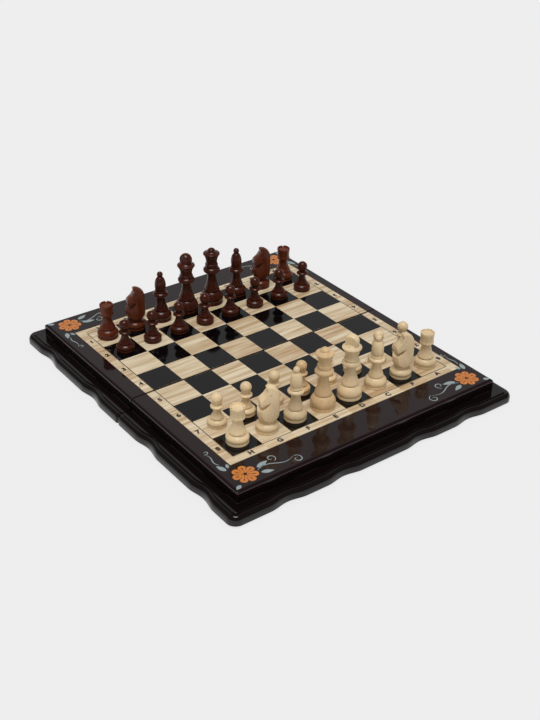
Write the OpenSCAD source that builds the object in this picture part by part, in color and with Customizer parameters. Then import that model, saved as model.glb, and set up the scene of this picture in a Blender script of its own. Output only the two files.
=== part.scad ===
// Folding games compendium box, laid open with its chess side up: two shallow
// wooden half cases on a pair of brass butt hinges, with thirty-two turned men.
// The origin is on the table under the middle of the seam. X runs along the
// seam, Y across it from the near half to the far half, and Z is up.

/* [Playing field] */
// Side of one chess square
square = 40; // [36:1:46]
// Width of the light veneer band round the squares
band_w = 12; // [8:1:18]
// Width of the dark border beyond the band at the left and right, on average
side_border_w = 18; // [14:1:28]
// How far the field lies to the right of the panel's middle
field_x = 3.2; // [-4:0.2:4]
// Width of the dark border beyond the band at the near and far ends
end_border_w = 43; // [30:1:54]
// Thickness of the field veneer and of its dark inlays
veneer_t = 0.6; // [0.4:0.1:1.2]
// Width of the veneer bridge where two dark squares meet at a corner
corner_bridge = 0.2; // [0.1:0.1:0.6]

/* [Half cases] */
// Height of one half case, from its rim to the playing surface
case_h = 27.5; // [23:0.5:36]
// Thickness of the play panel that closes the half case
panel_t = 6; // [5:0.5:7]
// Thickness of the frame rails
rail_t = 10; // [9:0.5:14]
// Radius of the panel's rounded outer edges
edge_r = 3.2; // [1:0.2:4]
// Radius of the eased edge beside the seam
seam_ease = 1; // [0.5:0.25:2]
// Radius in plan of a half case's corners at the seam
seam_corner_r = 3; // [1:0.5:5]
// Gap between the two halves at the seam
seam_gap = 0.6; // [0.4:0.1:1.2]
// Gap between the two rims when the box is folded
closed_gap = 0.3; // [0.2:0.05:0.6]
// Thickness of the backgammon board inside each half
point_board_t = 3; // [2:0.5:5]
// Clearance round the backgammon board
board_clearance = 0.2; // [0.1:0.05:0.5]

/* [Moulding] */
// How far the moulding stands out from the wall of the case
moulding_w = 19.4; // [14:0.2:24]
// Height of the moulding above the rim
moulding_h = 12.5; // [9:0.5:16]
// Width of the flat shelf at the foot of the wall
shelf_w = 12.2; // [6:0.2:13]
// Height of the small step at the shelf's outer edge
step_h = 1.2; // [1:0.1:3]
// Width of the ledge below the step
ledge_w = 1.8; // [0.5:0.1:2.5]
// Height of the upright edge at the foot of the moulding
lip_h = 4.5; // [2:0.5:6]
// Radius of the moulding's outer corners in plan
corner_r = 12; // [6:1:18]
// Radius of the moulding's ends beside the seam
seam_end_r = 3.5; // [1:0.5:5]
// Length of one shallow scoop in the moulding's edge
scoop_l = 50; // [36:2:60]
// Depth of one shallow scoop
scoop_d = 3.5; // [2:0.1:6]
// Distance of the outer scoops from the middle of an end
end_scoop_outer = 135; // [118:1:140]
// Distance of the inner scoops from the middle of an end
end_scoop_inner = 57.5; // [34:0.5:66]
// Distance of the side scoops nearer the seam, from the seam
side_scoop_inner = 64; // [40:1:76]
// Distance of the side scoops nearer the corner, from the seam
side_scoop_outer = 175; // [140:1:182]

/* [Backgammon points] */
// Length of one point
point_l = 140; // [100:5:160]
// Gap between neighbouring points at their bases
point_gap = 1.5; // [0.5:0.5:4]

/* [Hinges] */
// Distance of each hinge from the middle of the seam
hinge_x = 110; // [60:5:140]
// Length of a hinge
hinge_l = 36; // [28:1:50]
// Width of a hinge leaf, from the pin's axis
leaf_w = 8.5; // [7.5:0.25:9]
// Thickness of a hinge leaf
leaf_t = 1.2; // [0.8:0.1:1.6]
// Radius of the hinge knuckles
knuckle_r = 1.25; // [1.1:0.05:1.6]
// Radius of the hinge pin
pin_r = 0.6; // [0.5:0.05:0.7]
// Running clearance of the knuckles and the pin
hinge_clearance = 0.05; // [0.03:0.01:0.1]
// Diameter of a hinge screw's head
screw_head_d = 3.6; // [2.8:0.2:4.2]
// Diameter of a hinge screw's shank
screw_d = 1.8; // [1.4:0.1:2.2]
// Length of a hinge screw
screw_l = 9; // [6:0.5:12]
// Distance of a screw from the middle of its hinge
screw_x = 11; // [6:1:11]

/* [Magnets] */
// Distance of each closing magnet from the middle of the end rail
magnet_x = 150; // [100:5:160]
// Diameter of a closing magnet
magnet_d = 6; // [4:0.5:7]
// Thickness of a closing magnet
magnet_t = 3; // [2:0.5:4]
// Clearance round a magnet and a screw in the wood
fit_clearance = 0.05; // [0.02:0.01:0.2]

/* [Men] */
// Height of a king
king_h = 83; // [70:1:96]
// Diameter of a king's base
king_base_d = 30; // [26:1:34]
// Width of a king's finial across its flats
finial_flat_w = 9.2; // [6:0.2:12]
// Height of a queen
queen_h = 80; // [68:1:92]
// Diameter of a queen's base
queen_base_d = 30; // [26:1:34]
// Height of a bishop
bishop_h = 68.5; // [58:0.5:80]
// Diameter of a bishop's base
bishop_base_d = 27; // [23:0.5:32]
// Height of a knight
knight_h = 58; // [52:1:70]
// Diameter of a knight's base
knight_base_d = 27; // [24:0.5:32]
// Thickness of a knight across its sawn sides, at half its height
knight_t = 16.8; // [12:0.2:22]
// Lean of each sawn side of a knight, towards the top
knight_lean = 8; // [0:1:14]
// Height of a rook
rook_h = 46.5; // [40:0.5:56]
// Diameter of a rook's base
rook_base_d = 27; // [23:0.5:32]
// Width of the notches in a rook's battlement
rook_notch_w = 2; // [1:0.25:3]
// Depth of the notches in a rook's battlement
rook_notch_d = 1.6; // [0.8:0.2:3]
// Height of a pawn
pawn_h = 42; // [36:1:50]
// Diameter of a pawn's base
pawn_base_d = 23; // [19:0.5:27]
// How far the outermost light officer stands to the right of its square's middle
light_rank_drift = 2.4; // [-3:0.2:3]
// How far the dark officers stand to the left of their squares' middles
dark_rank_drift = 1.8; // [-3:0.2:3]
// Compass heading of the knights, turned from the right-hand side
knight_heading = 160; // [0:5:355]
// Compass heading of the light king's finial
light_king_heading = 115; // [0:5:355]
// Compass heading of the dark king's finial
dark_king_heading = 105; // [0:5:355]

/* [Hidden] */
$fn = 48;
lacquer = "#2e2627";
light_wood = "#d8bf93";
dark_inlay = "#232024";
dark_wood = "#5c2114";
board_wood = "#8a5a33";
brass = "#b5924f";

half_w = 4 * square + band_w + side_border_w;
seam_y = seam_gap / 2;
field_y0 = seam_y + seam_ease;
field_y1 = field_y0 + 4 * square;
veneer_y1 = field_y1 + band_w;
case_y1 = veneer_y1 + end_border_w;
veneer_half_w = 4 * square + band_w;

axis_z = knuckle_r;
rim_z = knuckle_r + closed_gap / 2;
play_z = rim_z + case_h;
panel_z = play_z - panel_t;
rail_h = case_h - panel_t;
board_z = panel_z - point_board_t;
board_half_w = half_w - rail_t - board_clearance;
board_y0 = seam_y + rail_t + board_clearance;
board_y1 = case_y1 - rail_t - board_clearance;

// Cuts and pockets run this far past the faces they open through
overcut = 1;
knuckle_count = 5;
knuckle_l = hinge_l / knuckle_count;
knuckle_relief = 0.3;
ovolo_steps = 4;
scoop_steps = 8;
seam_end_steps = 4;
corner_steps = 6;
bell_steps = 6;
bead_steps = 5;
ball_steps = 8;
points_per_side = 6;

FILES = ["h", "g", "f", "e", "d", "c", "b", "a"];
LIGHT_RANK = ["rook", "knight", "bishop", "queen", "king", "bishop", "knight", "rook"];
DARK_RANK = ["rook", "knight", "bishop", "king", "queen", "bishop", "knight", "rook"];
// Each man: its node's name, its kind, its file from the left and its rank from the near end
MEN = concat(
    [for (i = [0:7]) [str("light_", LIGHT_RANK[i], "_", FILES[i]), LIGHT_RANK[i], i, 0]],
    [for (i = [0:7]) [str("light_pawn_", FILES[i]), "pawn", i, 1]],
    [for (i = [0:7]) [str("dark_pawn_", FILES[i]), "pawn", i, 6]],
    [for (i = [0:7]) [str("dark_", DARK_RANK[i], "_", FILES[i]), DARK_RANK[i], i, 7]]
);
CASE_NODES = ["play_panel", "field_veneer", "dark_squares", "end_rail", "seam_rail",
    "side_rails", "end_moulding", "side_mouldings", "point_board", "points", "magnets",
    "hinge_leaves", "hinge_screws"];
SIDES = ["near", "far"];

// Both halves are described on the far side; the near one is its mirror image.
module on_side(side) {
    if (side == "far") children();
    else mirror([0, 1, 0]) children();
}

// ---- Play panel and field ----

// Section of a plate of thickness t from a0 to a1, with rounded upper edges
module eased_section(a0, a1, t, r0, r1) {
    translate([a0 + r0, 0]) square([a1 - a0 - r0 - r1, t]);
    translate([a0, 0]) square([r0, t - r0]);
    translate([a1 - r1, 0]) square([r1, t - r1]);
    translate([a0 + r0, t - r0]) circle(r0);
    translate([a1 - r1, t - r1]) circle(r1);
}

module play_panel(side) {
    on_side(side) color(lacquer) difference() {
        translate([0, 0, panel_z]) intersection() {
            linear_extrude(panel_t) case_plan();
            translate([0, case_y1 + overcut, 0]) rotate([90, 0, 0])
                linear_extrude(case_y1 + 2 * overcut)
                    eased_section(-half_w, half_w, panel_t, edge_r, edge_r);
            translate([-half_w, 0, 0]) rotate([90, 0, 90])
                linear_extrude(2 * half_w)
                    eased_section(seam_y, case_y1, panel_t, seam_ease, edge_r);
        }
        translate([field_x - veneer_half_w, field_y0, play_z - veneer_t])
            cube([2 * veneer_half_w, veneer_y1 - field_y0, veneer_t + overcut]);
    }
}

// Plan of a half case, rounded at its two corners by the seam
module case_plan() {
    r = seam_corner_r;
    translate([-half_w + r, seam_y]) square([2 * (half_w - r), r]);
    translate([-half_w, seam_y + r]) square([2 * half_w, case_y1 - seam_y - r]);
    for (x = [r - half_w, half_w - r]) translate([x, seam_y + r]) circle(r);
}

// Lower left corners of the dark squares of one half. The mirrored near half
// starts its first row at the seam too, so its colours begin the other way.
function dark_corners(side) = [
    for (row = [0:3], i = [0:7]) if ((i + row + (side == "far" ? 1 : 0)) % 2 == 1)
        [field_x + (i - 4) * square, field_y0 + row * square]
];

module field_veneer(side) {
    on_side(side) color(light_wood) difference() {
        translate([field_x - veneer_half_w, field_y0, play_z - veneer_t])
            cube([2 * veneer_half_w, veneer_y1 - field_y0, veneer_t]);
        for (c = dark_corners(side))
            translate([c.x, c.y, play_z - veneer_t - overcut] + corner_inset())
                cube([dark_side(), dark_side(), veneer_t + 2 * overcut]);
    }
}

function corner_inset() = [corner_bridge / 2, corner_bridge / 2, 0];
function dark_side() = square - corner_bridge;

module dark_squares(side) {
    on_side(side) color(dark_inlay) for (c = dark_corners(side))
        translate([c.x, c.y, play_z - veneer_t] + corner_inset())
            cube([dark_side(), dark_side(), veneer_t]);
}

// ---- Frame ----

module seam_rail(side) {
    on_side(side) color(lacquer) difference() {
        translate([0, 0, rim_z]) linear_extrude(rail_h) intersection() {
            case_plan();
            translate([-half_w, 0]) square([2 * half_w, seam_y + rail_t]);
        }
        for (x = [-hinge_x, hinge_x]) translate([x, 0, 0]) hinge_mortise();
    }
}

module hinge_mortise() {
    room = hinge_l + 2 * fit_clearance;
    translate([-room / 2, 0, rim_z - overcut])
        cube([room, leaf_w + fit_clearance, leaf_t + fit_clearance + overcut]);
    translate([-room / 2, 0, axis_z]) rotate([0, 90, 0])
        cylinder(r = knuckle_r + knuckle_relief, h = room);
    for (sx = [-screw_x, screw_x]) translate([sx, screw_y(), rim_z - overcut])
        cylinder(d = screw_d + 2 * fit_clearance, h = screw_l + overcut + fit_clearance);
}

module end_rail(side) {
    on_side(side) color(lacquer) difference() {
        translate([-half_w, case_y1 - rail_t, rim_z]) cube([2 * half_w, rail_t, rail_h]);
        for (x = [-magnet_x, magnet_x])
            translate([x, case_y1 - rail_t / 2, rim_z - overcut])
                cylinder(d = magnet_d + 2 * fit_clearance, h = magnet_t + overcut);
    }
}

module side_rails(side) {
    on_side(side) color(lacquer) for (x = [-half_w, half_w - rail_t])
        translate([x, seam_y + rail_t, rim_z])
            cube([rail_t, case_y1 - seam_y - 2 * rail_t, rail_h]);
}

module magnets(side) {
    on_side(side) color("silver") for (x = [-magnet_x, magnet_x])
        translate([x, case_y1 - rail_t / 2, rim_z]) cylinder(d = magnet_d, h = magnet_t);
}

// ---- Moulding ----

// Depth of a scoop at a distance from its middle, as one smooth wave
function scoop_at(d) = scoop_d * (1 + cos(360 * d / scoop_l)) / 2;
// Stations along a scoop whose middle is at c
function scoop_stations(c) =
    [for (k = [0:scoop_steps]) c - scoop_l / 2 + scoop_l * k / scoop_steps];
function arc_points(c, r, a0, a1, n) =
    [for (k = [0:n]) c + r * [cos(a0 + (a1 - a0) * k / n), sin(a0 + (a1 - a0) * k / n)]];
function flip_x(pts) = [for (k = [len(pts) - 1:-1:0]) [-pts[k].x, pts[k].y]];

// Right-hand half of the outline in plan, drawn in by inset from the widest line
function right_outline(inset) =
    let (x = half_w + moulding_w - inset, y = case_y1 + moulding_w - inset,
        r = corner_r - min(inset, corner_r - 1))
    concat(
        arc_points([x - seam_end_r, seam_y + seam_end_r], seam_end_r, -90, 0, seam_end_steps),
        [for (c = [side_scoop_inner, side_scoop_outer], s = scoop_stations(c))
            [x - scoop_at(s - c), s]],
        arc_points([x - r, y - r], r, 0, 90, corner_steps),
        [for (c = [end_scoop_outer, end_scoop_inner], s = scoop_stations(-c))
            [-s, y - scoop_at(s + c)]]
    );

module moulding_plan(inset) {
    difference() {
        polygon(concat(right_outline(inset), flip_x(right_outline(inset))));
        translate([-half_w, 0]) square([2 * half_w, case_y1]);
    }
}

// Wedge in plan between the two mitres of the end moulding
module mitre_wedge() {
    reach = moulding_w + overcut;
    polygon([[-half_w, case_y1], [half_w, case_y1],
        [half_w + reach, case_y1 + reach], [-half_w - reach, case_y1 + reach]]);
}

// Layers of the moulding as [inset, height], one inside the other: the upright lip,
// a quarter-round that climbs in small steps to the ledge, and the shelf
function moulding_layers() =
    let (run = moulding_w - shelf_w - ledge_w, rise = moulding_h - step_h - lip_h)
    concat(
        [[0, lip_h]],
        [for (k = [1:ovolo_steps]) let (middle = 90 * (k - 0.5) / ovolo_steps)
            [run * (1 - cos(middle)), lip_h + rise * sin(90 * k / ovolo_steps)]],
        [[moulding_w - shelf_w, moulding_h]]
    );

module end_moulding(side) {
    on_side(side) color(lacquer) for (l = moulding_layers())
        translate([0, 0, rim_z]) linear_extrude(l[1])
            intersection() {
                moulding_plan(l[0]);
                mitre_wedge();
            }
}

module side_mouldings(side) {
    on_side(side) color(lacquer) for (l = moulding_layers())
        translate([0, 0, rim_z]) linear_extrude(l[1])
            difference() {
                moulding_plan(l[0]);
                mitre_wedge();
            }
}

// ---- Backgammon board ----

module point_board(side) {
    on_side(side) color(board_wood) difference() {
        translate([-board_half_w, board_y0, board_z])
            cube([2 * board_half_w, board_y1 - board_y0, point_board_t]);
        point_inlays(side, overcut);
    }
}

module points(side) {
    on_side(side) color(light_wood) point_inlays(side, 0);
}

// Triangular inlays let into the underside of the board, six from each short side
module point_inlays(side, below) {
    pitch = (board_y1 - board_y0) / points_per_side;
    for (k = [0:points_per_side - 1], m = [0, 1]) mirror([m, 0, 0])
        translate([board_half_w, board_y0 + (k + 0.5) * pitch, board_z - below])
            linear_extrude(veneer_t + below)
                polygon([[0, -(pitch - point_gap) / 2], [0, (pitch - point_gap) / 2], [-point_l, 0]]);
}

// ---- Hinges ----

function screw_y() = (knuckle_r + knuckle_relief + leaf_w) / 2;

// Knuckles 0, 2 and 4 belong to the near leaf, 1 and 3 to the far leaf.
module hinge_leaf(first) {
    difference() {
        union() {
            translate([-hinge_l / 2, knuckle_r + knuckle_relief, rim_z])
                cube([hinge_l, leaf_w - knuckle_r - knuckle_relief, leaf_t]);
            for (k = [first:2:knuckle_count - 1])
                translate([-hinge_l / 2 + k * knuckle_l + hinge_clearance, 0, 0]) {
                    translate([0, 0, axis_z]) rotate([0, 90, 0])
                        cylinder(r = knuckle_r, h = knuckle_l - 2 * hinge_clearance);
                    translate([0, 0, rim_z])
                        cube([knuckle_l - 2 * hinge_clearance, knuckle_r + 2 * knuckle_relief,
                            knuckle_r - closed_gap / 2]);
                }
        }
        translate([-hinge_l / 2 - overcut, 0, axis_z]) rotate([0, 90, 0])
            cylinder(r = pin_r + hinge_clearance, h = hinge_l + 2 * overcut);
        for (sx = [-screw_x, screw_x]) translate([sx, screw_y(), rim_z])
            screw_body(fit_clearance, overcut);
    }
}

// Countersunk screw that enters upwards, grown by a clearance for its hole
module screw_body(clearance, below) {
    head_r = screw_head_d / 2 + clearance;
    shank_r = screw_d / 2 + clearance;
    head_h = head_r - shank_r;
    rotate_extrude() polygon([[0, -below], [head_r, -below], [head_r, 0],
        [shank_r, head_h], [shank_r, screw_l], [0, screw_l]]);
}

module hinge_leaves(side) {
    on_side(side) color(brass) for (x = [-hinge_x, hinge_x])
        translate([x, 0, 0]) hinge_leaf(side == "near" ? 0 : 1);
}

module hinge_screws(side) {
    on_side(side) color(brass) for (x = [-hinge_x, hinge_x], sx = [-screw_x, screw_x])
        translate([x + sx, screw_y(), rim_z]) screw_body(0, 0);
}

module hinge_pins() {
    color(brass) for (x = [-hinge_x, hinge_x])
        translate([x - hinge_l / 2, 0, axis_z]) rotate([0, 90, 0])
            cylinder(r = pin_r, h = hinge_l);
}

// ---- Men ----
// Each profile is a list of [radius, height] points from the foot to the top.

// Quarter of an ellipse about [cr, cz], from angle a0 to a1
function bead(cr, cz, rr, rz, a0, a1, n = bead_steps) =
    [for (k = [0:n]) let (a = a0 + (a1 - a0) * k / n) [cr + rr * cos(a), cz + rz * sin(a)]];
// Ball of radius r that tops a man of height h, from angle a0 at its neck
function top_ball(h, r, a0) = bead(0, h - r, r, r, a0, 90, ball_steps);
// Thin foot disc, groove and round bulb of radius r that closes to top_r at base_h
function base_profile(r, base_h, top_r) =
    let (foot_h = base_h * 0.21, widest = base_h * 0.45,
        closing = acos(0.94), opening = acos(top_r / r))
    concat(
        [[r * 0.97, 0], [r * 0.97, foot_h * 0.9], [r * 0.93, foot_h]],
        bead(0, widest, r, (widest - foot_h * 1.1) / sin(closing), -closing, 0, 2),
        bead(0, widest, r, (base_h - widest) / sin(opening),
            opening / bead_steps, opening, bead_steps - 1)
    );
// Bell that sweeps in from a lip [lip_r, z0] to a stem [stem_r, z1]
function bell_profile(lip_r, z0, stem_r, z1) =
    [for (k = [0:bell_steps]) let (t = k / bell_steps)
        [stem_r + (lip_r - stem_r) * pow(1 - t, 2), z0 + (z1 - z0) * t]];

module turned(profile) {
    top = profile[len(profile) - 1].y;
    rotate_extrude() polygon(concat([[0, 0]], profile, [[0, top]]));
}

module pawn() {
    r = pawn_base_d / 2;
    h = pawn_h;
    turned(concat(
        base_profile(r, h * 0.222, r * 0.64),
        [[r * 0.68, h * 0.235]],
        bell_profile(r * 0.68, h * 0.25, r * 0.38, h * 0.52),
        bead(r * 0.38, h * 0.605, r * 0.29, h * 0.05, -70, 60),
        top_ball(h, h * 0.157, -50)
    ));
}

module rook() {
    r = rook_base_d / 2;
    h = rook_h;
    difference() {
        turned(concat(
            base_profile(r, h * 0.255, r * 0.69),
            [[r * 0.74, h * 0.268]],
            bell_profile(r * 0.74, h * 0.285, r * 0.42, h * 0.62),
            [[r * 0.59, h * 0.675], [r * 0.645, h * 0.7], [r * 0.63, h * 0.725],
                [r * 0.585, h * 0.8], [r * 0.645, h * 0.985], [r * 0.62, h]],
            [[r * 0.46, h], [r * 0.46, h - rook_notch_d]]
        ));
        for (a = [0, 60, 120]) rotate([0, 0, a])
            translate([-r, -rook_notch_w / 2, h - rook_notch_d])
                cube([2 * r, rook_notch_w, rook_notch_d + overcut]);
    }
}

// The knight is a turned blank with a domed top, cut to a horse's head in profile
// and sawn flat on both sides. Forward is +X, as [forward, height] in shares of it.
module knight() {
    r = knight_base_d / 2;
    h = knight_h;
    body_r = r * 0.94;
    neck_z = h * 0.24;
    turned(concat(
        base_profile(r, h * 0.184, r * 0.66),
        [[r * 0.61, h * 0.195], [r * 0.65, h * 0.215], [r * 0.64, neck_z]]
    ));
    // The blank stands a little behind the middle of the base
    translate([-r * 0.09, 0, 0]) intersection() {
        turned(concat(
            [[r * 0.5, h * 0.2], [r * 0.62, neck_z]],
            [[r * 0.8, h * 0.266], [r * 0.9, h * 0.305], [body_r, h * 0.385]],
            bead(0, h * 0.76, body_r, h * 0.24, 0, 90, ball_steps)
        ));
        translate([0, r, 0]) rotate([90, 0, 0]) linear_extrude(2 * r)
            polygon([for (p = horse_outline()) [p.x * r, p.y * h]]);
        sawn_slab(r, h);
    }
}

// Room between the two sawn sides of a knight, which lean towards each other
module sawn_slab(r, h) {
    foot = knight_t / 2 + h / 2 * tan(knight_lean);
    top = knight_t / 2 - h / 2 * tan(knight_lean);
    translate([-r, 0, 0]) rotate([90, 0, 90]) linear_extrude(2 * r)
        polygon([[-foot, 0], [foot, 0], [top, h], [-top, h]]);
}

function horse_outline() = [[-1, 0.23], [-1, 1.02], [0.045, 1.02], [0.075, 0.986],
    [0.18, 0.959], [0.12, 0.924], [0.135, 0.886], [0.26, 0.839], [0.4, 0.786],
    [0.656, 0.729], [0.81, 0.659], [0.75, 0.613], [0.61, 0.607], [0.33, 0.634],
    [0.015, 0.666], [-0.03, 0.648], [0.24, 0.573], [0.52, 0.532], [0.96, 0.493],
    [0.96, 0.23]];

module bishop() {
    r = bishop_base_d / 2;
    h = bishop_h;
    turned(concat(
        base_profile(r, h * 0.196, r * 0.645),
        [[r * 0.68, h * 0.205]],
        bell_profile(r * 0.68, h * 0.22, r * 0.38, h * 0.5),
        bead(r * 0.38, h * 0.54, r * 0.34, h * 0.035, -80, 60),
        [[r * 0.52, h * 0.585], [r * 0.52, h * 0.605], [r * 0.44, h * 0.615]],
        bead(0, h * 0.715, r * 0.53, h * 0.185, -28, 72, ball_steps),
        top_ball(h, h * 0.056, -50)
    ));
}

module queen() {
    r = queen_base_d / 2;
    h = queen_h;
    turned(concat(
        base_profile(r, h * 0.222, r * 0.65),
        [[r * 0.69, h * 0.23]],
        bell_profile(r * 0.69, h * 0.25, r * 0.38, h * 0.56),
        bead(r * 0.38, h * 0.61, r * 0.36, h * 0.045, -80, 60),
        [[r * 0.5, h * 0.666], [r * 0.565, h * 0.675], [r * 0.565, h * 0.715],
            [r * 0.5, h * 0.725], [r * 0.48, h * 0.76], [r * 0.54, h * 0.83],
            [r * 0.66, h * 0.88]],
        bead(r * 0.665, h * 0.9, r * 0.07, h * 0.015, -50, 60),
        [[r * 0.42, h * 0.925]],
        bead(0, h * 0.94, r * 0.36, h * 0.06, 5, 90)
    ));
}

module king() {
    r = king_base_d / 2;
    h = king_h;
    finial_r = h * 0.1;
    finial_z = h - finial_r;
    turned(concat(
        base_profile(r, h * 0.205, r * 0.68),
        [[r * 0.7, h * 0.215]],
        bell_profile(r * 0.7, h * 0.235, r * 0.38, h * 0.51),
        bead(r * 0.38, h * 0.56, r * 0.36, h * 0.045, -80, 60),
        [[r * 0.59, h * 0.61], [r * 0.59, h * 0.63], [r * 0.53, h * 0.64],
            [r * 0.51, h * 0.69], [r * 0.62, h * 0.75], [r * 0.7, h * 0.783]],
        bead(r * 0.7, h * 0.8, r * 0.08, h * 0.015, -50, 60),
        [[r * 0.42, h * 0.85]]
    ));
    intersection() {
        translate([0, 0, finial_z]) sphere(finial_r);
        translate([-finial_r, -finial_flat_w / 2, finial_z - finial_r])
            cube([2 * finial_r, finial_flat_w, 2 * finial_r]);
    }
}

module shape_of(kind) {
    if (kind == "pawn") pawn();
    if (kind == "rook") rook();
    if (kind == "knight") knight();
    if (kind == "bishop") bishop();
    if (kind == "queen") queen();
    if (kind == "king") king();
}

// Distance of a rank's middle from the seam plane, for a rank counted from the near end
function rank_y(rank) = rank < 4
    ? -(field_y0 + (3.5 - rank) * square)
    : field_y0 + (rank - 3.5) * square;

function is_light(m) = m[3] < 4;
// Only the knights and the kings' finials have a front
function heading(m) = m[1] == "king"
    ? (is_light(m) ? light_king_heading : dark_king_heading)
    : knight_heading;

// Officers stand off their squares' middles along this line, towards its right end
drift_line = [0.8, -0.6];
function drift(m) = drift_line * (m[1] == "pawn" ? 0
    : is_light(m) ? light_rank_drift * m[2] / 7 : -dark_rank_drift);

module man(m) {
    color(is_light(m) ? light_wood : dark_wood)
        translate([field_x + (m[2] - 3.5) * square + drift(m).x, rank_y(m[3]) + drift(m).y, play_z])
            rotate([0, 0, heading(m)]) shape_of(m[1]);
}

for (s = SIDES) {
    play_panel(s);
    field_veneer(s);
    dark_squares(s);
    end_rail(s);
    seam_rail(s);
    side_rails(s);
    end_moulding(s);
    side_mouldings(s);
    point_board(s);
    points(s);
    magnets(s);
    hinge_leaves(s);
    hinge_screws(s);
}
hinge_pins();
for (m = MEN) {
    man(m);
}
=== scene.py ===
"""Looks of a folding chess and backgammon box, laid open with its chess side up.

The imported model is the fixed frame. Its flat joinery is dressed where it stands;
the mouldings and the thirty-two turned men are modelled anew over their nodes,
and the letters, the field's fine line and the painted corners are laid on top.
"""

import math

import bmesh
import bpy
from bpy.props import FloatProperty, FloatVectorProperty, PointerProperty
from bpy.types import Operator, Panel, PropertyGroup
from mathutils import Matrix, Vector


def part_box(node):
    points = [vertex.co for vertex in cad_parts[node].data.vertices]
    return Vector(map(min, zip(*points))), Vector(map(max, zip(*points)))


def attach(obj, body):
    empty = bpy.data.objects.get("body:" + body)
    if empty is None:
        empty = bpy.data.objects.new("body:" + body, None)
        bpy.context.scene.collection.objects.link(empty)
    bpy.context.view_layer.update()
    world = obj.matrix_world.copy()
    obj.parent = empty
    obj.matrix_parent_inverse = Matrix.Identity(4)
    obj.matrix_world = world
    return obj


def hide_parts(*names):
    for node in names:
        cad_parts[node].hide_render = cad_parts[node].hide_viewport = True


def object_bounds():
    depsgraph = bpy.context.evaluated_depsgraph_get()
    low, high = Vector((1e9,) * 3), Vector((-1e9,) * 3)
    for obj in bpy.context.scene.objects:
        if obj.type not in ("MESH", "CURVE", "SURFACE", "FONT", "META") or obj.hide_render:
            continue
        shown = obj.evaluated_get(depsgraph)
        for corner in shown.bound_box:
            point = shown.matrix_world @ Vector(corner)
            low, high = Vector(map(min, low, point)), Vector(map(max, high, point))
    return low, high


bl_info = {
    "name": "Games compendium box",
    "version": (1, 0, 0),
    "blender": (4, 5, 0),
    "location": "View3D > Sidebar > Compendium",
    "description": "Dresses a folding chess and backgammon box and its turned men",
    "category": "Object",
}

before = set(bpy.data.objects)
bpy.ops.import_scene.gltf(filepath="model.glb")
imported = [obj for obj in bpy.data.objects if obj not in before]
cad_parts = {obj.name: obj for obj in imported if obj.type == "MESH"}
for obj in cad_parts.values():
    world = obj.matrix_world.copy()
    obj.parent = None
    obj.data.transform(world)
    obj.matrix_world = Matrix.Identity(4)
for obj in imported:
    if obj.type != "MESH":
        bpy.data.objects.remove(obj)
CAD_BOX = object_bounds()

MM = 0.001
SIDES = ("near", "far")
FILES = "HGFEDCBA"  # from the left, seen from the near end
RANKS = "12345678"
TURNING_STEPS = 64
SMOOTH_ANGLE = math.radians(32)  # edges sharper than this keep their crease
HOLD = 0.08 * MM  # a holding point this far inside its end keeps a flat face flat
STATION_PITCH = 2.5 * MM  # between two rings along a moulding


# ---- Places, read from the frame ----

def middle(node):
    """Middle of a node's box in plan, with the height of its foot."""
    low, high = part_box(node)
    return Vector(((low.x + high.x) / 2, (low.y + high.y) / 2, low.z))


CORNER_BRIDGE = 0.2 * MM  # light veneer left between two dark squares at a corner
PANEL_LOW, PANEL_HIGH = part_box("far_play_panel")
VENEER_LOW, VENEER_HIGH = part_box("far_field_veneer")
SQUARES_LOW, SQUARES_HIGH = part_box("far_dark_squares")
MOULDING_LOW, MOULDING_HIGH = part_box("far_end_moulding")
PLAY_Z = PANEL_HIGH.z
SEAM_Y = PANEL_LOW.y
SQUARE = (SQUARES_HIGH.x - SQUARES_LOW.x + CORNER_BRIDGE) / 8
FIELD_X = (SQUARES_HIGH.x + SQUARES_LOW.x) / 2
FIELD_HALF = 4 * SQUARE
FIELD_Y = SQUARES_HIGH.y + CORNER_BRIDGE / 2


# ---- Sizes and colours a user would change ----

def length(name, description, millimetres):
    return FloatProperty(name=name, description=description, default=millimetres * MM,
                         min=0.0, unit="LENGTH", precision=4)


def colour(name, description, hexa):
    return FloatVectorProperty(name=name, description=description, default=linear(hexa),
                               size=4, subtype="COLOR", min=0.0, max=1.0)


def linear(hexa):
    """Linear RGBA of an sRGB hex colour."""
    channels = [int(hexa[i:i + 2], 16) / 255 for i in (1, 3, 5)]
    return [c / 12.92 if c <= 0.04045 else ((c + 0.055) / 1.055) ** 2.4 for c in channels] + [1.0]


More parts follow.
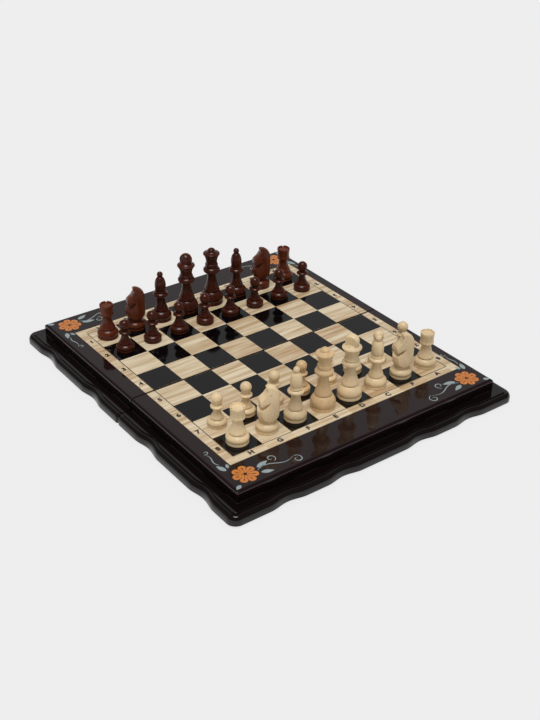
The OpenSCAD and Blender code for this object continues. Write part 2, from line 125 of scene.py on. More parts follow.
class CompendiumSizes(PropertyGroup):
    """Sizes of what is modelled here and is not in the frame."""

    edge_r: length("Panel edge", "Radius of the panel's rounded outer edges", 3.2)
    seam_ease: length("Seam edge", "Radius of the panel's eased edge at the seam", 1.0)
    seam_corner_r: length("Seam corner", "Radius in plan of the panel's seam corners", 3.0)
    shelf_w: length("Shelf", "Width of the flat shelf at the foot of the wall", 12.2)
    step_h: length("Step", "Height of the step at the shelf's outer edge", 1.2)
    ovolo_w: length("Ovolo", "Width of the ovolo, from its crown to the lip", 5.2)
    lip_h: length("Lip", "Height of the upright edge at the moulding's foot", 4.5)
    arris_r: length("Arris", "Radius of the moulding's eased edges", 0.4)
    fillet_r: length("Fillet", "Radius of the lacquer that pooled at the wall's foot", 0.8)
    corner_r: length("Corner", "Radius of the moulding's corners in plan", 12.0)
    seam_end_r: length("Seam end", "Radius of the moulding's ends beside the seam", 3.5)
    scoop_l: length("Scoop length", "Length of one shallow scoop", 50.0)
    scoop_d: length("Scoop depth", "Depth of one shallow scoop", 3.5)
    end_scoop_outer: length("Outer end scoop", "From the middle of an end", 135.0)
    end_scoop_inner: length("Inner end scoop", "From the middle of an end", 57.5)
    side_scoop_inner: length("Side scoop by the seam", "From the seam", 64.0)
    side_scoop_outer: length("Side scoop by the corner", "From the seam", 175.0)
    line_w: length("Field line", "Width of the fine line round the squares", 1.0)
    label_h: length("Letters", "Height of the letters and numbers", 6.2)
    paint_t: length("Paint", "Thickness of printed letters, lines and ornament", 0.05)
    blossom_r: length("Blossom", "Radius of a corner blossom", 15.0)
    leaf_l: length("Leaf", "Length of a corner leaf", 15.0)
    tendril_w: length("Tendril", "Width of a corner tendril", 1.3)


class CompendiumColours(PropertyGroup):
    """Colours of the finishes."""

    # The next two are one lacquer in two copies: the darker one is matched to the walls and the
    # shelf in shade, and the lighter one is painted light on the lit panel tops.
    lacquer: colour("Lacquer", "Brown-black gloss lacquer", "#0f0707")
    lit_panel_lacquer: colour("Panel lacquer", "The same lacquer, laid thicker", "#1c0d0f")
    ash_pale: colour("Ash, pale", "Early wood of the pale veneer", "#e3d3b4")
    ash_dark: colour("Ash, grain", "Late wood of the pale veneer", "#b08e64")
    stain: colour("Black stain", "Stained squares", "#060506")
    ink: colour("Ink", "Letters and field line", "#15110e")
    maple_pale: colour("Maple, pale", "Light men", "#e3c99f")
    maple_warm: colour("Maple, warm", "Light men from a warmer plank", "#dcba8b")
    redwood_dark: colour("Red stain, dark", "Dark men", "#43190b")
    redwood_warm: colour("Red stain, warm", "Dark men from a warmer plank", "#5a2611")
    board: colour("Board", "Wood of the backgammon boards", "#7a4526")
    point: colour("Points", "Pale backgammon points", "#d6bb8a")
    brass: colour("Brass", "Hinges and screws", "#c8a457")
    steel: colour("Steel", "Magnets", "#b9bbbd")
    petal: colour("Petals", "Corner blossoms", "#c9772f")
    petal_dark: colour("Petal veins", "Darker lines in the blossoms", "#5a2a10")
    leaf: colour("Leaves", "Corner leaves and tendrils", "#8f9d9f")
    floor: colour("Floor", "Pale studio floor", "#eeeeee")


def sizes():
    return bpy.context.scene.compendium_sizes


def colours():
    return bpy.context.scene.compendium_colours


# ---- Finishes ----

def add_node(tree, kind, settings=None, inputs=None):
    """Adds a node, sets its properties and fills its inputs with values or links."""
    node = tree.nodes.new(kind)
    for name, value in (settings or {}).items():
        setattr(node, name, value)
    for key, value in (inputs or {}).items():
        if isinstance(value, bpy.types.NodeSocket):
            tree.links.new(value, node.inputs[key])
        else:
            node.inputs[key].default_value = value
    return node


def finish(name, surface):
    """The material of that name. If it is new, surface adds the nodes of its shader."""
    if name not in bpy.data.materials:
        material = bpy.data.materials.new(name)
        material.use_nodes = True
        tree = material.node_tree
        tree.nodes.clear()
        add_node(tree, "ShaderNodeOutputMaterial", inputs={
            "Surface": surface(tree).outputs[0]})
    return bpy.data.materials[name]


def toned(shade, factor):
    """A colour made darker or lighter by a factor."""
    return [min(factor * c, 1) for c in shade[:3]] + [1.0]


def lacquered(name, shade, ior):
    """Stained wood under gloss lacquer: near black, it mirrors the room, with the long
    shallow waves that a sprayed coat keeps."""
    def surface(tree):
        place = add_node(tree, "ShaderNodeTexCoord").outputs["Object"]
        waves = add_node(tree, "ShaderNodeTexNoise", inputs={
            "Vector": place, "Scale": 1 / (9 * MM), "Detail": 1.0})
        bump = add_node(tree, "ShaderNodeBump", inputs={
            "Strength": 0.05, "Distance": 0.1 * MM, "Height": waves.outputs["Fac"]})
        return add_node(tree, "ShaderNodeBsdfPrincipled", inputs={
            "Base Color": shade, "Roughness": 0.07, "IOR": ior, "Normal": bump.outputs[0]})

    return finish(name, surface)


def gloss_lacquer():
    """Brown-black lacquer on the mouldings and the rails: the darker copy, matched to the walls
    and the shelf where they stand in shade.
    """
    return lacquered("gloss_lacquer", colours().lacquer, ior=1.45)


def lit_panel_lacquer():
    """A lighter copy of the same lacquer on the play panels: painted light on their lit tops,
    which read brighter than the walls and the shelf in shade.
    """
    return lacquered("lit_panel_lacquer", colours().lit_panel_lacquer, ior=1.45)


def black_stain():
    """Veneer stained black under the same lacquer: neutral black squares."""
    return lacquered("black_stained_veneer", colours().stain, ior=1.4)


def grained(name, pale, dark, streak, across, roughness, coat, leaf=0.0):
    """Planed wood with its grain along X. streak and across are the length and the
    width of a grain band, and leaf is the size of the pieces it is laid from."""
    def surface(tree):
        place = add_node(tree, "ShaderNodeTexCoord").outputs["Object"]
        if leaf:
            centred = add_node(tree, "ShaderNodeVectorMath", {"operation": "SUBTRACT"}, {
                0: place, 1: (FIELD_X, 0, 0)})
            quarter = add_node(tree, "ShaderNodeVectorMath", {"operation": "SIGN"}, {
                0: centred.outputs[0]})
            leaf_id = centred
            for operation, operand in (
                    ("ABSOLUTE", (0, 0, 0)), ("SUBTRACT", (0, FIELD_Y - 4 * SQUARE, 0)),
                    ("SNAP", (leaf, leaf, 1)), ("ADD", quarter.outputs[0])):
                leaf_id = add_node(tree, "ShaderNodeVectorMath", {"operation": operation}, {
                    0: leaf_id.outputs[0], 1: operand})
            chance = add_node(tree, "ShaderNodeTexWhiteNoise", inputs={
                "Vector": leaf_id.outputs[0]})
            place = add_node(tree, "ShaderNodeVectorMath", {"operation": "ADD"}, {
                0: place, 1: chance.outputs["Color"]}).outputs[0]
        drawn = add_node(tree, "ShaderNodeMapping", inputs={
            "Vector": place, "Scale": (1 / streak, 1 / across, 1 / streak)})
        bands = add_node(tree, "ShaderNodeTexNoise", inputs={
            "Vector": drawn.outputs[0], "Scale": 1.0, "Detail": 3.0, "Roughness": 0.6,
            "Distortion": 0.4})
        fine_drawn = add_node(tree, "ShaderNodeMapping", inputs={
            "Vector": place, "Scale": (2 / streak, 7 / across, 2 / streak)})
        pores = add_node(tree, "ShaderNodeTexNoise", inputs={
            "Vector": fine_drawn.outputs[0], "Scale": 1.0, "Detail": 2.0})
        mixed = add_node(tree, "ShaderNodeMix", {"data_type": "FLOAT"}, {
            0: 0.3, 2: bands.outputs["Fac"], 3: pores.outputs["Fac"]})
        if leaf:
            mixed = add_node(tree, "ShaderNodeMix", {"data_type": "FLOAT"}, {
                0: 0.09, 2: mixed.outputs[0], 3: chance.outputs["Value"]})
        ramp = add_node(tree, "ShaderNodeValToRGB", inputs={"Fac": mixed.outputs[0]})
        for stop, at, shade in zip(ramp.color_ramp.elements, (0.40, 0.63), (pale, dark)):
            stop.position, stop.color = at, shade
        bump = add_node(tree, "ShaderNodeBump", inputs={
            "Strength": 0.1, "Distance": 0.05 * MM, "Height": pores.outputs["Fac"]})
        return add_node(tree, "ShaderNodeBsdfPrincipled", inputs={
            "Base Color": ramp.outputs["Color"], "Roughness": roughness,
            "Coat Weight": coat, "Coat Roughness": 0.08, "Normal": bump.outputs[0]})

    return finish(name, surface)


def ash_veneer():
    """Sliced ash under gloss lacquer: pale bands a few millimetres wide along the seam."""
    return grained("ash_veneer", colours().ash_pale, colours().ash_dark,
                   streak=100 * MM, across=6 * MM, roughness=0.35, coat=0.35, leaf=SQUARE)


def board_wood():
    """Brown stained board inside each half, sealed satin."""
    return grained("stained_board_wood", colours().board, toned(colours().board, 0.6),
                   streak=110 * MM, across=6 * MM, roughness=0.45, coat=0.0)


def point_veneer():
    """Pale veneer points, sealed satin."""
    return grained("point_veneer", colours().point, toned(colours().point, 0.75),
                   streak=80 * MM, across=4 * MM, roughness=0.45, coat=0.0)


def turned_wood(name, shade, roughness, specular):
    """Turned and varnished wood: its colour drifts a little along the plank and from
    man to man, with faint upright grain."""
    def surface(tree):
        place = add_node(tree, "ShaderNodeTexCoord").outputs["Object"]
        plank = add_node(tree, "ShaderNodeTexNoise", inputs={
            "Vector": place, "Scale": 1 / (40 * MM), "Detail": 0.0})
        drawn = add_node(tree, "ShaderNodeMapping", inputs={
            "Vector": place, "Scale": (1 / (3.5 * MM), 1 / (2.2 * MM), 1 / (30 * MM))})
        grain = add_node(tree, "ShaderNodeTexNoise", inputs={
            "Vector": drawn.outputs[0], "Scale": 1.0, "Detail": 2.0, "Distortion": 0.3})
        mixed = add_node(tree, "ShaderNodeMix", {"data_type": "FLOAT"}, {
            0: 0.35, 2: plank.outputs["Fac"], 3: grain.outputs["Fac"]})
        ramp = add_node(tree, "ShaderNodeValToRGB", inputs={"Fac": mixed.outputs[0]})
        for stop, at, tone in zip(ramp.color_ramp.elements, (0.35, 0.65), (0.86, 1.1)):
            stop.position, stop.color = at, toned(shade, tone)
        bump = add_node(tree, "ShaderNodeBump", inputs={
            "Strength": 0.06, "Distance": 0.03 * MM, "Height": grain.outputs["Fac"]})
        return add_node(tree, "ShaderNodeBsdfPrincipled", inputs={
            "Base Color": ramp.outputs["Color"], "Roughness": roughness,
            "Specular IOR Level": specular, "Normal": bump.outputs[0]})

    return finish(name, surface)


def maple(warm):
    """Pale maple, turned, under a thin clear varnish: soft broad highlights."""
    name, shade = (("varnished_warm_maple", colours().maple_warm) if warm
                   else ("varnished_maple", colours().maple_pale))
    return turned_wood(name, shade, roughness=0.36, specular=0.4)


def red_stained_wood(warm):
    """Close-grained wood with a red-brown stain under varnish: small bright highlights."""
    name, shade = (("warm_red_stained_wood", colours().redwood_warm) if warm
                   else ("red_stained_wood", colours().redwood_dark))
    return turned_wood(name, shade, roughness=0.24, specular=0.32)


def metal(name, shade, roughness):
    """Sheet metal with the faint straight lines that rolling or grinding leaves."""
    def surface(tree):
        place = add_node(tree, "ShaderNodeTexCoord").outputs["Object"]
        drawn = add_node(tree, "ShaderNodeMapping", inputs={
            "Vector": place, "Scale": (1 / (6 * MM), 1 / (0.3 * MM), 1 / (0.3 * MM))})
        lines = add_node(tree, "ShaderNodeTexNoise", inputs={
            "Vector": drawn.outputs[0], "Scale": 1.0, "Detail": 1.0})
        bump = add_node(tree, "ShaderNodeBump", inputs={
            "Strength": 0.1, "Distance": 0.02 * MM, "Height": lines.outputs["Fac"]})
        return add_node(tree, "ShaderNodeBsdfPrincipled", inputs={
            "Base Color": shade, "Metallic": 1.0, "Roughness": roughness,
            "Normal": bump.outputs[0]})

    return finish(name, surface)


def rolled_brass():
    """Brass sheet, as rolled and lightly polished: hinges and screws."""
    return metal("rolled_brass", colours().brass, roughness=0.25)


def nickel_plate():
    """Bright nickel plating on the magnets, with the faint lines of the ground steel."""
    return metal("nickel_plate", colours().steel, roughness=0.2)


def paint(name, shade, variation):
    """Screen-printed paint under the lacquer: flat colour, slightly uneven in density."""
    def surface(tree):
        place = add_node(tree, "ShaderNodeTexCoord").outputs["Object"]
        density = add_node(tree, "ShaderNodeTexNoise", inputs={
            "Vector": place, "Scale": 1 / (4 * MM), "Detail": 2.0})
        ramp = add_node(tree, "ShaderNodeValToRGB", inputs={"Fac": density.outputs["Fac"]})
        for stop, tone in zip(ramp.color_ramp.elements, (1 - variation, 1 + variation)):
            stop.color = toned(shade, tone)
        return add_node(tree, "ShaderNodeBsdfPrincipled", inputs={
            "Base Color": ramp.outputs["Color"], "Roughness": 0.3, "Coat Weight": 0.4,
            "Coat Roughness": 0.05})

    return finish(name, surface)


# ---- Bench work shared by all pieces ----

def curve_arc(cx, cy, rx, ry, start, end, steps):
    """Points along part of an ellipse, angles in degrees."""
    return [(cx + rx * math.cos(math.radians(start + (end - start) * k / steps)),
             cy + ry * math.sin(math.radians(start + (end - start) * k / steps)))
            for k in range(steps + 1)]


def between(p0, p1, p2, p3, steps):
    """Points of a smooth cubic sweep from p0 to p3."""
    return [tuple((1 - t) ** 3 * a + 3 * (1 - t) ** 2 * t * b + 3 * (1 - t) * t * t * c
                  + t ** 3 * d for a, b, c, d in zip(p0, p1, p2, p3))
            for t in (k / steps for k in range(steps + 1))]


def deselect():
    bpy.ops.object.select_all(action="DESELECT")


def select_only(piece):
    deselect()
    piece.select_set(True)
    bpy.context.view_layer.objects.active = piece


def begin_edit(piece):
    """Enters edit mode on one piece with all of it selected."""
    select_only(piece)
    bpy.ops.object.mode_set(mode="EDIT")
    bpy.ops.mesh.select_all(action="SELECT")


def end_edit(smooth=False):
    """Merges doubles, turns the faces outwards and leaves edit mode."""
    bpy.ops.mesh.select_all(action="SELECT")
    bpy.ops.mesh.remove_doubles(threshold=0.001 * MM)
    bpy.ops.mesh.normals_make_consistent(inside=False)
    bpy.ops.object.mode_set(mode="OBJECT")
    if smooth:
        bpy.ops.object.shade_smooth_by_angle(angle=SMOOTH_ANGLE)


def turn(name, profile):
    """Turns (radius, height) points in millimetres, from the foot up, round the Z axis."""
    deselect()
    bpy.ops.mesh.primitive_plane_add(size=MM)
    piece = bpy.context.object
    piece.name = name
    begin_edit(piece)
    bpy.ops.mesh.merge(type="CENTER")
    bpy.ops.transform.translate(value=(profile[0][0] * MM, 0, profile[0][1] * MM))
    for (r0, z0), (r1, z1) in zip(profile, profile[1:]):
        step = ((r1 - r0) * MM, 0, (z1 - z0) * MM)
        bpy.ops.mesh.extrude_vertices_move(TRANSFORM_OT_translate={"value": step})
    bpy.ops.mesh.select_all(action="SELECT")
    bpy.ops.mesh.spin(steps=TURNING_STEPS, angle=2 * math.pi, center=(0, 0, 0),
                      axis=(0, 0, 1))
    end_edit(smooth=True)
    return piece


def draw_out(name, rings, smooth=True):
    """Draws a closed section out through its rings: each ring gives the section's
    points at one station. No one extrusion can follow the scoops, so each new ring
    is extruded and then put in its place."""
    deselect()
    bpy.ops.mesh.primitive_circle_add(vertices=len(rings[0]), radius=MM, fill_type="NGON")
    piece = bpy.context.object
    piece.name = name
    begin_edit(piece)
    section = bmesh.from_edit_mesh(piece.data)
    order = section.verts.layers.int.new("order")
    for index, point in enumerate(section.verts):
        point[order] = index
        point.co = rings[0][index]
    for ring in rings[1:]:
        bmesh.update_edit_mesh(piece.data)
        bpy.ops.mesh.extrude_region_move()
        section = bmesh.from_edit_mesh(piece.data)
        order = section.verts.layers.int["order"]
        for point in section.verts:
            if point.select:
                point.co = ring[point[order]]
    bmesh.update_edit_mesh(piece.data)
    end_edit(smooth=smooth)
    piece.data.attributes.remove(piece.data.attributes["order"])
    return piece


def apply_modifier(piece, kind, **settings):
    """Adds a modifier with its settings and applies it."""
    select_only(piece)
    modifier = piece.modifiers.new(kind.title(), kind)
    for name, value in settings.items():
        setattr(modifier, name, value)
    bpy.ops.object.modifier_apply(modifier=modifier.name)


def cut(piece, tool, operation="DIFFERENCE"):
    """Applies a boolean with a tool piece and takes the tool away."""
    apply_modifier(piece, "BOOLEAN", operation=operation, object=tool, solver="EXACT")
    bpy.data.objects.remove(tool)


def smooth_again(piece):
    """Smooths a piece over its fresh cuts."""
    select_only(piece)
    bpy.ops.object.shade_smooth_by_angle(angle=SMOOTH_ANGLE)


def join(name, pieces):
    """Joins pieces into the first one."""
    deselect()
    for piece in pieces:
        piece.select_set(True)
    bpy.context.view_layer.objects.active = pieces[0]
    if len(pieces) > 1:
        bpy.ops.object.join()
    pieces[0].name = name
    return pieces[0]


def settle(piece, material, body, nodes=()):
    """Gives a finished piece its material, its body and the nodes it stands for."""
    select_only(piece)
    bpy.ops.object.transform_apply(location=True, rotation=True, scale=True)
    piece.data.materials.clear()
    piece.data.materials.append(material)
    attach(piece, body)
    if nodes:
        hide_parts(*nodes)


def dress(nodes, material):
    """Gives nodes that stay as they are their finish."""
    for name in nodes:
        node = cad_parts[name]
        node.data.materials.clear()
        node.data.materials.append(material)


def mirror_y(piece):
    """Mirrors a far piece to the near half."""
    begin_edit(piece)
    bpy.ops.transform.mirror(constraint_axis=(False, True, False), center_override=(0, 0, 0))
    end_edit(smooth=True)


def flipped(rings):
    """The same rings on the other side of the middle."""
    return [[Vector((-p.x, p.y, p.z)) for p in ring] for ring in rings]


# ---- Case ----

def panel_ring(x, top, inlaid):
    """The panel's section at x, from the rim of the seam round to the outer edge, no
    higher than top. Where it is inlaid, it dips to the bed of the veneer."""
    s = sizes()
    low, high = PANEL_LOW, PANEL_HIGH
    past = max(0, abs(x) - (high.x - s.seam_corner_r))
    start = low.y + s.seam_corner_r - math.sqrt(s.seam_corner_r ** 2 - past ** 2)
    bed = VENEER_LOW.z if inlaid else high.z
    bed_start = max(VENEER_LOW.y, start + s.seam_ease)
    points = (
        [(start, low.z), (start, high.z - s.seam_ease - HOLD)]
        + curve_arc(start + s.seam_ease, high.z - s.seam_ease, s.seam_ease, s.seam_ease,
                    180, 90, 5)
        + [(bed_start, bed), (bed_start + HOLD, bed), (VENEER_HIGH.y, bed),
           (VENEER_HIGH.y, high.z), (high.y - s.edge_r - HOLD, high.z)]
        + curve_arc(high.y - s.edge_r, high.z - s.edge_r, s.edge_r, s.edge_r, 90, 0, 8)
        + [(high.y, high.z - s.edge_r - HOLD), (high.y, low.z)]
    )
    return [Vector((x, y, min(z, top))) for y, z in points]


def panel_rings():
    """Rings of the far panel from left to right, rounded over at both ends."""
    r = sizes().edge_r
    top = PANEL_HIGH.z
    left = [panel_ring(PANEL_LOW.x, top - r - HOLD, False)]
    left += [panel_ring(PANEL_LOW.x + r - x, z, False)
             for x, z in curve_arc(0, top - r, r, r, 0, 90, 8)]
    left.append(panel_ring(PANEL_LOW.x + r + HOLD, top, False))
    right = flipped(reversed(left))
    bed = [panel_ring(x, top, inlaid) for x, inlaid in (
        (VENEER_LOW.x, False), (VENEER_LOW.x, True), (VENEER_HIGH.x, True),
        (VENEER_HIGH.x, False))]
    return left + bed + right


class COMPENDIUM_OT_case(Operator):
    """Round the play panels and dress the rails and the field of both halves"""

    bl_idname = "compendium.case"
    bl_label = "Case"

    def execute(self, context):
        for side in SIDES:
            panel = draw_out(f"{side}_rounded_panel", panel_rings())
            if side == "near":
                mirror_y(panel)
            # The panels take the lighter copy of the lacquer: painted light on their tops.
            settle(panel, lit_panel_lacquer(), f"{side}_half",
                   [f"{side}_play_panel"])
            parts = ("end_rail", "seam_rail", "side_rails")
            dress([f"{side}_{part}" for part in parts], gloss_lacquer())
            dress([f"{side}_field_veneer"], ash_veneer())
            dress([f"{side}_dark_squares"], black_stain())
        return {"FINISHED"}


# ---- Mouldings ----

def moulding_section():
    """The moulding's section as (inset from the widest line, height above the rim),
    from the foot of the wall, over the shelf and down to the lip."""
    s = sizes()
    width = MOULDING_HIGH.y - PANEL_HIGH.y
    height = MOULDING_HIGH.z - MOULDING_LOW.z
    shelf = width - s.shelf_w
    ease = s.arris_r
    ovolo = curve_arc(s.ovolo_w, s.lip_h, s.ovolo_w, height - s.step_h - s.lip_h, 108, 180, 14)
    return (
        [(width, 0)]
        + curve_arc(width - s.fillet_r, height + s.fillet_r, s.fillet_r, s.fillet_r, 0, -90, 5)
        + [(width - s.fillet_r - HOLD, height), (shelf + ease + HOLD, height)]
        + curve_arc(shelf + ease, height - ease, ease, ease, 90, 180, 4)
        + [(shelf, ovolo[0][1])] + ovolo
        + [(0, s.lip_h - HOLD), (0, ease + HOLD)]
        + curve_arc(ease, ease, ease, ease, 180, 270, 4)
    )


def scoop_at(place, middles):
    """Depth that the scoops with those middles have at a place along a moulding."""
    s = sizes()
    return sum(s.scoop_d * (1 + math.cos(2 * math.pi * (place - centre) / s.scoop_l)) / 2
               for centre in middles if abs(place - centre) < s.scoop_l / 2)


def stations(start, end):
    """Even places along a moulding, one for each ring."""
    count = max(2, round((end - start) / STATION_PITCH))
    return [start + (end - start) * k / count for k in range(count + 1)]


def corner_radius(inset):
    """Plan radius of the moulding's corner at an inset, never under a millimetre."""
    return sizes().corner_r - min(inset, sizes().corner_r - MM)


def corner_ring(section, angle):
    """The section at an angle round the far right corner of the case."""
    width = section[0][0]
    ring = []
    for inset, height in section:
        reach = width - inset
        radius = corner_radius(inset)
        x = PANEL_HIGH.x + reach - radius + radius * math.cos(angle)
        y = PANEL_HIGH.y + reach - radius + radius * math.sin(angle)
        if reach <= 0:
            x, y = PANEL_HIGH.x, PANEL_HIGH.y
        ring.append(Vector((x, y, MOULDING_LOW.z + height)))
    return ring


def side_rings():
    """Rings of the far half's right-hand moulding, from the seam to the mitre."""
    s = sizes()
    section = moulding_section()
    width = section[0][0]
    middles = (s.side_scoop_inner, s.side_scoop_outer)
    rings = []
    for angle in [math.radians(a) for a in range(-90, 0, 15)]:
        ring = []
        for inset, height in section:
            x = PANEL_HIGH.x + width - inset - s.seam_end_r * (1 - math.cos(angle))
            y = SEAM_Y + s.seam_end_r * (1 + math.sin(angle))
            if inset >= width:
                x, y = PANEL_HIGH.x, SEAM_Y
            ring.append(Vector((x, y, MOULDING_LOW.z + height)))
        rings.append(ring)
    corner_y = PANEL_HIGH.y + width - s.corner_r
    for y in stations(SEAM_Y + s.seam_end_r, corner_y):
        rings.append([
            Vector((PANEL_HIGH.x + width - inset - (scoop_at(y, middles) if inset < width else 0),
                    min(y, PANEL_HIGH.y + width - inset - corner_radius(inset)),
                    MOULDING_LOW.z + height)) for inset, height in section])
    rings += [corner_ring(section, math.radians(a)) for a in range(5, 50, 5)]
    return rings


def end_rings():
    """Rings of the far end moulding, from its right-hand mitre to its left-hand one."""
    s = sizes()
    section = moulding_section()
    width = section[0][0]
    middles = [sign * m for sign in (-1, 1) for m in (s.end_scoop_inner, s.end_scoop_outer)]
    rings = [corner_ring(section, math.radians(a)) for a in range(45, 90, 5)]
    corner_x = PANEL_HIGH.x + width - s.corner_r
    straight = []
    for x in stations(-corner_x, corner_x)[::-1]:
        ring = []
        for inset, height in section:
            end = PANEL_HIGH.x + width - inset - corner_radius(inset)
            depth = scoop_at(x, middles) if inset < width else 0
            ring.append(Vector((max(-end, min(x, end)), PANEL_HIGH.y + width - inset - depth,
                                MOULDING_LOW.z + height)))
        straight.append(ring)
    return rings + straight + flipped(reversed(rings))


class COMPENDIUM_OT_mouldings(Operator):
    """Run the scalloped mouldings round both halves"""

    bl_idname = "compendium.mouldings"
    bl_label = "Mouldings"

    def execute(self, context):
        right = side_rings()
        for side in SIDES:
            end = draw_out(f"{side}_end_scalloped_moulding", end_rings())
            pair = join(f"{side}_side_scalloped_mouldings",
                        [draw_out("right_run", right), draw_out("left_run", flipped(right))])
            for piece, node in ((end, "end_moulding"), (pair, "side_mouldings")):
                if side == "near":
                    mirror_y(piece)
                settle(piece, gloss_lacquer(), f"{side}_half",
                       [f"{side}_{node}"])
        return {"FINISHED"}


# ---- Letters, numbers and the field's fine line ----

CAP_SHARE = 0.7  # a capital's height as a share of the font's size
STROKE_SHARE = 0.085  # what thickens the strokes, as a share of a letter's height
LABEL_STRETCH = 1.05


def strip(corner, opposite):
    """A thin printed strip between two opposite corners in plan, on the playing surface."""
    (x0, y0), (x1, y1) = corner, opposite
    thickness = sizes().paint_t
    deselect()
    bpy.ops.mesh.primitive_cube_add(
        size=1, location=((x0 + x1) / 2, (y0 + y1) / 2, PLAY_Z + thickness / 2),
        scale=(abs(x1 - x0), abs(y1 - y0), thickness))
    return bpy.context.object


def label(sign, x, y, turned):
    """One printed letter or number, its foot towards the near end unless turned."""
    s = sizes()
    deselect()
    bpy.ops.object.text_add()
    glyph = bpy.context.object
    glyph.data.body = sign
    glyph.data.size = s.label_h / CAP_SHARE
    glyph.data.offset = STROKE_SHARE * s.label_h
    glyph.data.align_x = "CENTER"
    glyph.data.align_y = "CENTER"
    glyph.data.extrude = s.paint_t / 2
    bpy.ops.object.convert(target="MESH")
    glyph = bpy.context.object
    glyph.scale.x = LABEL_STRETCH
    glyph.rotation_euler.z = math.pi if turned else 0
    glyph.location = (x, y, PLAY_Z + s.paint_t / 2)
    bpy.ops.object.transform_apply(location=True, rotation=True, scale=True)
    return glyph


class COMPENDIUM_OT_field_print(Operator):
    """Print the letters, the numbers and the fine line round the squares"""

    bl_idname = "compendium.field_print"
    bl_label = "Field print"

    def execute(self, context):
        s = sizes()
        ink = paint("printing_ink", colours().ink, 0.1)
        band_y = (FIELD_Y + VENEER_HIGH.y) / 2
        band_x = (FIELD_HALF + VENEER_HIGH.x - FIELD_X) / 2
        first_y = FIELD_Y - 4 * SQUARE
        for side, sign in (("near", -1), ("far", 1)):
            glyphs = [label(letter, FIELD_X + (i - 3.5) * SQUARE, sign * band_y, sign > 0)
                      for i, letter in enumerate(FILES)]
            numbers = RANKS[3::-1] if side == "far" else RANKS[4:]
            for row, number in enumerate(numbers):
                y = sign * (first_y + (row + 0.5) * SQUARE)
                glyphs.append(label(number, FIELD_X - band_x, y, False))
                glyphs.append(label(number, FIELD_X + band_x, y, True))
            settle(join(f"{side}_letters_and_numbers", glyphs), ink, f"{side}_half")
            left, right = FIELD_X - FIELD_HALF, FIELD_X + FIELD_HALF
            seam, edge, line = (sign * y for y in (first_y, FIELD_Y, FIELD_Y + s.line_w))
            strips = [strip((x, seam), (x + s.line_w, line)) for x in (left - s.line_w, right)]
            strips.append(strip((left, edge), (right, line)))
            settle(join(f"{side}_field_line", strips), ink, f"{side}_half")
        return {"FINISHED"}


# ---- Painted corners ----
# Plain flowers of our own: an open blossom in each corner, leaves and tendrils
# along both borders. Places are from the far right corner of the panel, inwards.

OUTLINE_STEPS = 20
SPIRAL_STEPS = 28
LEAF_STEPS = 9


def flat_shape(outline_points, lift=0.0):
    """A thin painted shape from its outline in millimetres, from the corner inwards."""
    thickness = sizes().paint_t
    deselect()
    bpy.ops.mesh.primitive_circle_add(vertices=len(outline_points), radius=MM, fill_type="NGON")
    piece = bpy.context.object
    begin_edit(piece)
    shape = bmesh.from_edit_mesh(piece.data)
    for point, (u, v) in zip(shape.verts, outline_points):
        point.co = Vector((PANEL_HIGH.x - u * MM, PANEL_HIGH.y - v * MM, PLAY_Z + lift))
    bmesh.update_edit_mesh(piece.data)
    bpy.ops.mesh.extrude_region_move(TRANSFORM_OT_translate={"value": (0, 0, thickness)})
    end_edit()
    return piece


def turned_to(u, v, angle, points):
    """Points along and across a stalk at u, v, turned to its angle."""
    return [(u + along * math.cos(angle) - across * math.sin(angle),
             v + along * math.sin(angle) + across * math.cos(angle))
            for along, across in points]


def petal_outline(u, v, angle, start, reach, half_w):
    """A rounded petal that grows outwards from a centre, from start to reach."""
    points = []
    for k in range(OUTLINE_STEPS):
        t = 2 * math.pi * k / OUTLINE_STEPS
        along = (start + reach) / 2 - (reach - start) / 2 * math.cos(t)
        points.append((along, half_w * math.sin(t)
                       * (0.62 + 0.38 * (along - start) / (reach - start))))
    return turned_to(u, v, angle, points)


def leaf_outline(u, v, angle, reach, half_w):
    """A pointed leaf from its stalk at u, v."""
    edge = [(reach * t, half_w * math.sin(math.pi * t ** 0.8))
            for t in (k / LEAF_STEPS for k in range(1, LEAF_STEPS))]
    other_edge = [(along, -across) for along, across in reversed(edge)]
    return turned_to(u, v, angle, [(0, 0)] + edge + [(reach, 0)] + other_edge)


def ribbon_outline(middle_line, half_w):
    """A ribbon that tapers to both ends along a list of points."""
    left, right = [], []
    last = len(middle_line) - 1
    for k, (u, v) in enumerate(middle_line):
        u0, v0 = middle_line[max(k - 1, 0)]
        u1, v1 = middle_line[min(k + 1, last)]
        size = math.hypot(u1 - u0, v1 - v0)
        width = half_w * (0.3 + 0.7 * math.sin(math.pi * min(k / last + 0.08, 1)))
        left.append((u - (v1 - v0) / size * width, v + (u1 - u0) / size * width))
        right.append((u + (v1 - v0) / size * width, v - (u1 - u0) / size * width))
    return left + right[::-1]


def spiral(u, v, start_r, end_r, start, sweep):
    """Points of a spiral round u, v, angles in degrees."""
    points = []
    for k in range(SPIRAL_STEPS + 1):
        radius = start_r + (end_r - start_r) * k / SPIRAL_STEPS
        angle = math.radians(start + sweep * k / SPIRAL_STEPS)
        points.append((u + radius * math.cos(angle), v + radius * math.sin(angle)))
    return points


def wave(u0, v0, u1, v1, rise):
    """Points of a gentle S between two places."""
    size = math.hypot(u1 - u0, v1 - v0)
    points = []
    for k in range(OUTLINE_STEPS + 1):
        swing = math.sin(2 * math.pi * k / OUTLINE_STEPS)
        points.append((u0 + (u1 - u0) * k / OUTLINE_STEPS - (v1 - v0) / size * rise * swing,
                       v0 + (v1 - v0) * k / OUTLINE_STEPS + (u1 - u0) / size * rise * swing))
    return points


BLOSSOM_U = 25
BLOSSOM_V = 21
PETALS = 7


